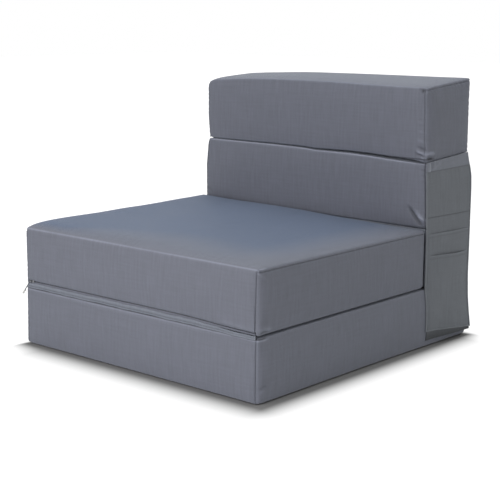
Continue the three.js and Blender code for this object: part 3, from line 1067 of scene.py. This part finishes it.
low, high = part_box("zip_coil")
COIL_PITCH = 1.45 * MM
coil_y, coil_z = (low.y + high.y) / 2, (low.z + high.z) / 2
coil = primitive(
    "zip_coil_turns", "cylinder", vertices=8, radius=0.5 * MM, depth=high.z - low.z,
    location=(low.x + COIL_PITCH / 2, coil_y, coil_z), rotation=(0, math.radians(9), 0),
)
finished_by(coil, "BEVEL", width=0.3 * MM, segments=1, limit_method="ANGLE")
points = points_of(coil)
lobes = np.cos((points[:, 2] - coil_z) / (high.z - low.z) * math.pi)
points[:, 1] -= 0.22 * MM * lobes
put_points(coil, points)
finished_by(
    coil, "ARRAY", count=int((high.x - low.x) / COIL_PITCH), use_relative_offset=False,
    use_constant_offset=True, constant_offset_displace=(COIL_PITCH, 0, 0),
)
on_zip_line(coil)
dress(coil, zip_coil_nylon, "zip_coil", "zip_coil", body="seat", smooth=60)


def metal_finish():
    finish, wire = new_finish("zip_cast_metal")
    scuffs = wire.noise(wire.place(), 420.0, Detail=4.0)
    return feed(
        finish,
        Base_Color=wire.ramp(scuffs, (0.3, (0.20, 0.205, 0.22)), (0.7, (0.33, 0.34, 0.36))),
        Roughness=0.28 + scuffs * 0.2,
        Metallic=0.85,
        Normal=wire.bump(scuffs * (0.08 * MM), 0.5),
    )


zip_cast_metal = metal_finish()
for node in ("zip_stop_left", "zip_stop_right"):
    low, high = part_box(node)
    stop = box_at(f"{node}_clamp", low, high)
    finished_by(stop, "BEVEL", width=0.45 * MM, segments=3)
    bpy.ops.object.mode_set(mode="EDIT")
    middle = (low.x + high.x) / 2
    for side in (-0.35, 0.35):
        bpy.ops.mesh.select_all(action="SELECT")
        bpy.ops.mesh.bisect(
            plane_co=(middle + side * MM, 0, 0), plane_no=(1, 0, 0), threshold=1e-6
        )
    bpy.ops.object.mode_set(mode="OBJECT")
    points = points_of(stop)
    waist = np.abs(points[:, 0] - middle) < 0.5 * MM
    centre = np.array([middle, (low.y + high.y) / 2, (low.z + high.z) / 2])
    squeeze = np.array([1, 0.82, 0.86])
    points = np.where(waist[:, None], centre + (points - centre) * squeeze, points)
    put_points(stop, points)
    on_zip_line(stop)
    dress(stop, zip_cast_metal, "zip_metal", node, body="seat", smooth=40)


# Slider and pull: the slider is cast metal, a saddle over the coil with two ears and a pin.
# The pull is moulded: an eye on the pin, a thin stem that droops, and a fat pale end.
def from_node(name, node, rounding):
    """A CAD node's shape, merged and with its edges rounded."""
    piece = bpy.data.objects.new(name, frame["nodes"][node].data.copy())
    scene.collection.objects.link(piece)
    take(piece)
    bpy.ops.object.mode_set(mode="EDIT")
    bpy.ops.mesh.select_all(action="SELECT")
    bpy.ops.mesh.remove_doubles(threshold=1e-5)
    bpy.ops.mesh.dissolve_limited(angle_limit=math.radians(2))
    bpy.ops.object.mode_set(mode="OBJECT")
    finished_by(piece, "BEVEL", width=rounding, segments=2, limit_method="ANGLE")
    return piece


SLIDER_SPREAD = 10.5 * MM  # as far as the zip under it has spread
slider = from_node("zip_slider_cast", "zip_slider", 0.28 * MM)
put_points(slider, points_of(slider) - np.array([SLIDER_SPREAD, 0, 0]))
dress(slider, zip_cast_metal, "zip_metal", "zip_slider", body="zip_slider", smooth=40)


def pull_finish():
    finish, wire = new_finish("zip_pull_moulding")
    place = wire.place()
    grain = wire.noise(place, 240.0)
    along_stem = ((place.parts()[0] + 0.3675) * 900 + grain * 0.2).clipped()
    return feed(
        finish,
        Base_Color=wire.ramp(along_stem, (0.0, (0.66, 0.66, 0.64)), (1.0, (0.16, 0.17, 0.19))),
        Roughness=0.42 + grain * 0.15,
    )


STEM_START = -0.3400
pull = from_node("zip_pull_moulded", "zip_pull", 0.22 * MM)
points = points_of(pull)
on_stem = clipped((STEM_START - points[:, 0]) / (3 * MM))
points += normals_of(pull) * (0.75 * MM * on_stem)[:, None]
hanging = clipped(STEM_START - points[:, 0])
points[:, 0] -= SLIDER_SPREAD + 0.1 * hanging
points[:, 2] -= 0.6 * hanging
put_points(pull, points)
dress(pull, pull_finish(), "pull_plastic", "zip_pull", body="zip_pull", smooth=45)


# Organiser: one length of the same cloth that hangs down the right side from the joint under the
# upper back. A folded band finishes its top, and cross seams divide it below the yoke.
RISER_TOP, FOLD_LEVEL = 0.279, 0.280
HANG_FRONT = (  # how far out its front edge lies, by level
    (0.03, 0.115, 0.186, 0.284, 0.349, 0.407, 0.43),
    (0.3540, 0.3515, 0.3513, 0.3500, 0.3475, 0.3457, 0.3450),
)
HANG_REAR = (
    (0.02, 0.06, 0.098, 0.15, 0.27, 0.36, 0.388, 0.414, 0.43, 0.445),
    (0.3735, 0.3680, 0.3638, 0.3612, 0.3612, 0.3612, 0.3600, 0.3560, 0.3530, 0.3505),
)
ORGANISER_FRONT, ORGANISER_REAR = 0.2145, 0.3805
HEM_LEVEL = 0.038
FRONT_REACH = 7 * MM  # of its front edge, round to the front of the block
REAR_DROP = 15 * MM  # of its lower rear corner
REAR_TUCK = 4.5 * MM  # of its upper rear corner


def block_side(y, z):
    """How far out the blocks' right ends lie at a place."""
    block = "lower_back" if z > RISER_TOP else "riser" if z > BASE_TOP else "base"
    panel = skins[f"{block}_end_panel_right"]
    found = panel.ray_cast(Vector((HALF_WIDTH + 0.1, y, z)), Vector((-1, 0, 0)))[0]
    return found.x if found is not None else HALF_WIDTH - 10 * MM


def across_side(y):
    return (y - ORGANISER_FRONT) / (ORGANISER_REAR - ORGANISER_FRONT)


def side_at(y, z):
    """How far out the organiser's inner face lies at a place: it hangs from the joint, bellied
    at the lower back's end, with its lower rear corner out."""
    across = clipped(across_side(y))
    out = np.interp(z, *HANG_FRONT) * (1 - across) + np.interp(z, *HANG_REAR) * across
    belly = 1.8 * MM * math.sin(across * math.pi) * bell(z - 0.355, 0.07)
    wave = 0.6 * MM * math.sin(y * 44 + z * 11) * clipped((FOLD_LEVEL - z) / 0.2)
    return max(float(out) + belly + wave, block_side(y, z) + 0.6 * MM)


def fallen(y, z):
    """The level of a point of the hanging part, whose rear is longer than its front."""
    down = clipped((FOLD_LEVEL - z) / (FOLD_LEVEL - HEM_LEVEL))
    return z - REAR_DROP * across_side(y) * down**1.5


def reach_along(y, z):
    """Stretches the organiser's front edge forward, and draws in its upper rear corner."""
    forward = FRONT_REACH * clipped((ORGANISER_FRONT + 0.03 - y) / 0.03)
    rear = clipped((y - ORGANISER_REAR + 0.05) / 0.05)
    return y - forward - REAR_TUCK * rear * clipped((z - 0.395) / 0.04)


def upright_sheet(
    name, node, cells, cloth, out=0.0, wall=1.0 * MM, shape=None, rise=None, seams=(), hems=(),
    glow=None,
):
    """A sheet of cloth over a CAD slab's place on the right side. Out is how far it lies off the
    side's surface, and shape(share across, share up) adds to that. Seams and hems are levels and
    widths that are marked for its finish."""
    low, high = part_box(node)
    sheet = primitive(
        name, "grid", stretch=(high.y - low.y, high.z - low.z, 1), x_subdivisions=cells[0],
        y_subdivisions=cells[1], size=1, calc_uvs=True,
        location=(0, (low.y + high.y) / 2, (low.z + high.z) / 2),
        rotation=(math.radians(90), 0, math.radians(90)),
    )
    points = points_of(sheet)
    levels, shares = points[:, 2].copy(), []
    for i, (_, y, z) in enumerate(points.copy()):
        across, up = (y - low.y) / (high.y - low.y), (z - low.z) / (high.z - low.z)
        shares.append((across, up))
        level = fallen(y, z + (rise(across, up) if rise else 0.0))
        points[i, 2] = level
        points[i, 0] = side_at(y, level) + out + (shape(across, up) if shape else 0.0)
        points[i, 1] = reach_along(y, level)
    put_points(sheet, points)
    lines = []
    for places in (seams, hems):
        line = np.zeros(len(levels))
        for place, width, *strength in places:
            line = np.maximum(line, bell(levels - place, width) * (strength or [1.0])[0])
        lines.append(line)
    if glow:
        lines[1] += [glow(*share) for share in shares]
    mark_points(sheet, seam=lines[0], edge=lines[1])
    finished_by(sheet, "SOLIDIFY", thickness=wall, offset=1, use_rim=True)
    dress(sheet, cloth, "organiser_cloth", node, smooth=50)
    return sheet


def flat_size(node):
    low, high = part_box(node)
    return high.y - low.y, high.z - low.z


def seam_rise(across):
    """Of the seam between the top band and the yoke."""
    return 4 * MM * across


def top_rise(across, up):
    top = (-5.5 + 12.5 * across) * MM
    return top * up + (seam_rise(across) - 0.5 * MM) * (1 - up)


def yoke_rise(across, up):
    return seam_rise(across) * up**4


def top_shape(across, up):
    fold = 3.6 * MM * bell(across - 0.04, 0.024) * (0.5 + 0.5 * up)
    fold += 2.6 * MM * bell(across - 0.125, 0.022) * up
    dip = -0.9 * MM * bell(across - 0.09, 0.018)
    return fold + dip + 0.5 * MM * up


def top_glow(across, up):
    """The light that the top band's upright fold and its slanting fold catch."""
    upright = 2.6 * bell(across - 0.045, 0.022)
    slanting = 1.6 * bell(up - (across - 0.05) / 0.34, 0.16)
    return upright + slanting * clipped(1 - across / 0.45)


def bends_at_fold(piece):
    """Bakes a piece's place into its points."""
    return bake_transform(piece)


GREY_SLATE, EDGING_SLATE = (0.137, 0.149, 0.170), (0.168, 0.180, 0.217)
BAND_SEAM, YOKE_SEAM = 0.4115, 0.305


def organiser_part(
    part, rests_on, cells, colour=GREY_SLATE, sheen=0.22, held="hung", bends=False, **form
):
    """One length of the organiser above its pockets, at its CAD slab's flat size."""
    node = f"organiser_{part}"
    size = flat_size(node)
    cloth = woven_cloth(f"slate_{part}_cloth", colour, flat=size, sheen=sheen)
    sheet = upright_sheet(f"{node}_cloth", node, cells, cloth, **form)
    if bends:
        bends_at_fold(sheet)
    else:
        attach(sheet, "lower_back")


def painted_shadow_drop(across, up):
    """The panel's lowest rows drop below the hem, most at the front, and are darkened: a painted
    shadow under the hem.
    """
    return -(26 - 16 * across) * MM * (1 - up) ** 40


organiser_part(
    "top_band", "lower_back_end_panel_right", (64, 12), EDGING_SLATE, 0.3, "stretched",
    wall=1.5 * MM, shape=top_shape, rise=top_rise, seams=[(BAND_SEAM, 1.2 * MM)], glow=top_glow,
)
organiser_part(
    "yoke", "lower_back_end_panel_right", (40, 60), rise=yoke_rise,
    seams=[(BAND_SEAM, 1.2 * MM), (YOKE_SEAM, 1.3 * MM)],
)
organiser_part(
    "strip", "organiser_yoke_cloth", (40, 16), seams=[(YOKE_SEAM, 1.3 * MM)],
    rise=lambda across, up: -0.9 * MM * (1 - up) ** 8,
)
# The panel's dropped lowest rows are darkened into a painted shadow under its hem.
organiser_part(
    "panel", "organiser_strip_cloth", (40, 60), bends=True, rise=painted_shadow_drop,
    seams=[(0.0422, 7 * MM, 2.0)],
)


# Edge binding: a folded tape sewn round the organiser's edges, on the yoke's two sides above the
# fold and in one length round the hanging panel below it.
def bound_edge(name, low, high):
    """A rounded tape along one edge, laid on the organiser's line."""
    edge = box_at(name, low, high)
    finished_by(edge, "BEVEL", width=0.75 * MM, segments=2)
    bpy.ops.object.mode_set(mode="EDIT")
    divide_along(edge, 2, 6 * MM)
    divide_along(edge, 1, 6 * MM)
    bpy.ops.object.mode_set(mode="OBJECT")
    points = points_of(edge)
    middle_y, middle_z = (low[1] + high[1]) / 2, (low[2] + high[2]) / 2
    upright = high[2] - low[2] > high[1] - low[1]
    for i, (x, y, z) in enumerate(points):
        at = side_at(middle_y if upright else y, fallen(y, z if upright else middle_z))
        up_yoke = clipped((z - YOKE_SEAM) / (BAND_SEAM - YOKE_SEAM - 0.5 * MM))
        level = fallen(y, z) + yoke_rise(across_side(y), up_yoke)
        points[i] = (at + (x - low[0]) - 0.35 * MM, reach_along(y, level), level)
    put_points(edge, points)
    return edge


binding_cloth = woven_cloth("slate_binding_tape", (0.150, 0.163, 0.184), sheen=0.3)
binding_depth = 2.3 * MM
for side in ("front", "rear"):
    low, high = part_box(f"organiser_binding_{side}")
    binding = bound_edge(
        f"organiser_binding_{side}_tape",
        (low.x, low.y, FOLD_LEVEL + 0.15 * MM), (low.x + binding_depth, high.y, high.z),
    )
    dress(
        binding, binding_cloth, "organiser_cloth", f"organiser_binding_{side}",
        body="lower_back", smooth=50,
    )

low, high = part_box("organiser_hem_binding")
hem_width = 4 * MM
leg_top = FOLD_LEVEL - 0.15 * MM
tape_ends = (low.y + hem_width, high.y - hem_width)
legs = [
    bound_edge(name, (low.x, start, low.z), (low.x + binding_depth, end, leg_top))
    for name, start, end in (
        ("leg_front", low.y, tape_ends[0]), ("leg_rear", tape_ends[1], high.y)
    )
]
hem_tape = bound_edge(
    "organiser_hem_tape",
    (low.x, tape_ends[0] - 0.5 * MM, low.z),
    (low.x + binding_depth, tape_ends[1] + 0.5 * MM, low.z + hem_width),
)
take(hem_tape)
for leg in legs:
    leg.select_set(True)
bpy.ops.object.join()
dress(hem_tape, binding_cloth, "organiser_cloth", "organiser_hem_binding", smooth=50)
bends_at_fold(hem_tape)


# Pockets: two patch pockets on the hanging panel, a large one and a shorter one on it, sewn down
# at the sides and bottom, with a turned hem along each open mouth.
def pocket_bulge(height):
    def bulge(across, up):
        side = 1 - abs(2 * across - 1) ** 3
        foot = min(1.0, up / 0.12)
        return height * side * math.sin(foot * math.pi / 2) * (0.45 + 0.55 * up**2)
    return bulge


def patch_pocket(node, out, height, mouth_wave):
    size, low, high = flat_size(node), *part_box(node)
    body = upright_sheet(
        f"{node}_cloth", node, (36, max(40, round(size[1] / (3.5 * MM)))),
        woven_cloth(f"{node}_cloth_weave", GREY_SLATE, flat=size), out=out,
        shape=pocket_bulge(height), seams=[(high.z - 8 * MM, 1 * MM)], hems=[(high.z, 4 * MM)],
        rise=lambda across, up: mouth_wave * up**6 * math.sin(across * 5.2 + 0.8),
    )
    points = points_of(body)
    hem = clipped(1 - np.abs(high.z - 7 * MM - points[:, 2]) / (1.3 * MM))
    points[:, 0] -= 0.35 * MM * hem
    put_points(body, points)
    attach(body, "organiser")


patch_pocket("organiser_large_pocket", out=0.4 * MM, height=2.2 * MM, mouth_wave=0.4 * MM)
patch_pocket("organiser_small_pocket", out=0.8 * MM, height=6.0 * MM, mouth_wave=1.5 * MM)


# Room: a pale floor, white all round, that shows the chair's real shadow faintly and a painted
# shadow round its foot, and soft light from large lamps in front, above and at the right.
FOOT_SIDE, FOOT_FRONT, FOOT_REAR = 0.364, -0.389, 0.386


def floor_finish():
    """White all round, and grey close to the chair: a painted shadow round its foot, over a faint
    real one.
    """
    finish, wire = new_finish("pale_floor")
    x, y, _ = wire.place().parts()
    past_right = x.sum_of("MAXIMUM", x - FOOT_SIDE, 0.0) * 1.25
    past_left = x.sum_of("MAXIMUM", -FOOT_SIDE - x, 0.0) * 6
    past_front = x.sum_of("MAXIMUM", FOOT_FRONT - y, 0.0)
    past_rear = x.sum_of("MAXIMUM", y - FOOT_REAR, 0.0) * 4
    to_left, to_rear = ((-0.29 - x) * 14).clipped(), ((y - 0.34) * 20).clipped()
    across = past_right * (1 + to_rear * 0.8) + past_left
    along = past_front * (1 + to_left * 0.8) + past_rear
    away = (across * across + along * along) ** 0.5
    # The painted shadow: to the camera the floor's glow grows from nothing at the chair's foot to
    # full white a little way off, and its lit colour is darker, so the real shadow shows faintly.
    clear = 1 - x.sum_of("EXPONENT", (away * 19.8) ** 1.38 * -1.0)
    seen = wire.node("ShaderNodeLightPath", output=0)
    grey = 0.86 - seen * 0.66
    glow = wire.node(
        "ShaderNodeEmission", sockets={"Color": (1, 1, 1, 1), "Strength": seen * clear}
    )
    feed(finish, Base_Color=wire.with_parts(grey, grey, grey), Roughness=0.9)
    lit = Wire(wire.tree, wire.tree.nodes["Principled BSDF"].outputs[0])
    both = wire.node("ShaderNodeAddShader", sockets={0: lit, 1: glow})
    wire.tree.links.new(both.socket, wire.tree.nodes["Material Output"].inputs["Surface"])
    return finish


floor = primitive("floor", "plane", size=30, location=(0, 0, -0.5 * MM))
floor.data.materials.append(floor_finish())

world = bpy.data.worlds.new("white_room")
scene.world = world
world.use_nodes = True
ROOM_LIGHT = 0.49
sky = Wire(world.node_tree)
seen, glossy = (sky.node("ShaderNodeLightPath", output=index) for index in (0, 3))
white = (seen + glossy).clipped()
background = world.node_tree.nodes["Background"].inputs
for socket, value in (
    ("Color", sky.mix(white, (1.0, 0.985, 0.93), (1, 1, 1))),
    ("Strength", ROOM_LIGHT + white * (1 - ROOM_LIGHT)),
):
    world.node_tree.links.new(value.socket, background[socket])


def lamp(name, place, aim, size, power, colour):
    light = bpy.data.lights.new(name, "AREA")
    light.shape, light.size, light.energy, light.color = "SQUARE", size, power, colour
    made = bpy.data.objects.new(name, light)
    scene.collection.objects.link(made)
    place, aim = Vector(place), Vector(aim)
    made.matrix_world = Matrix.Translation(place) @ (
        (aim - place).to_track_quat("-Z", "Y").to_matrix().to_4x4()
    )


lamp("window", (0.15, -2.4, 1.1), (0, 0, 0.15), 1.8, 30, (1.0, 0.98, 0.985))
lamp("overhead", (-0.2, 0.4, 3.4), (0, 0, 0.3), 2.8, 44, (0.88, 0.94, 1.0))
lamp("fill", (2.6, -1.6, 1.4), (0, 0, 0.3), 2.4, 0.6, (1.0, 1.0, 0.96))

scene.view_settings.view_transform = "Standard"
bpy.context.view_layer.update()
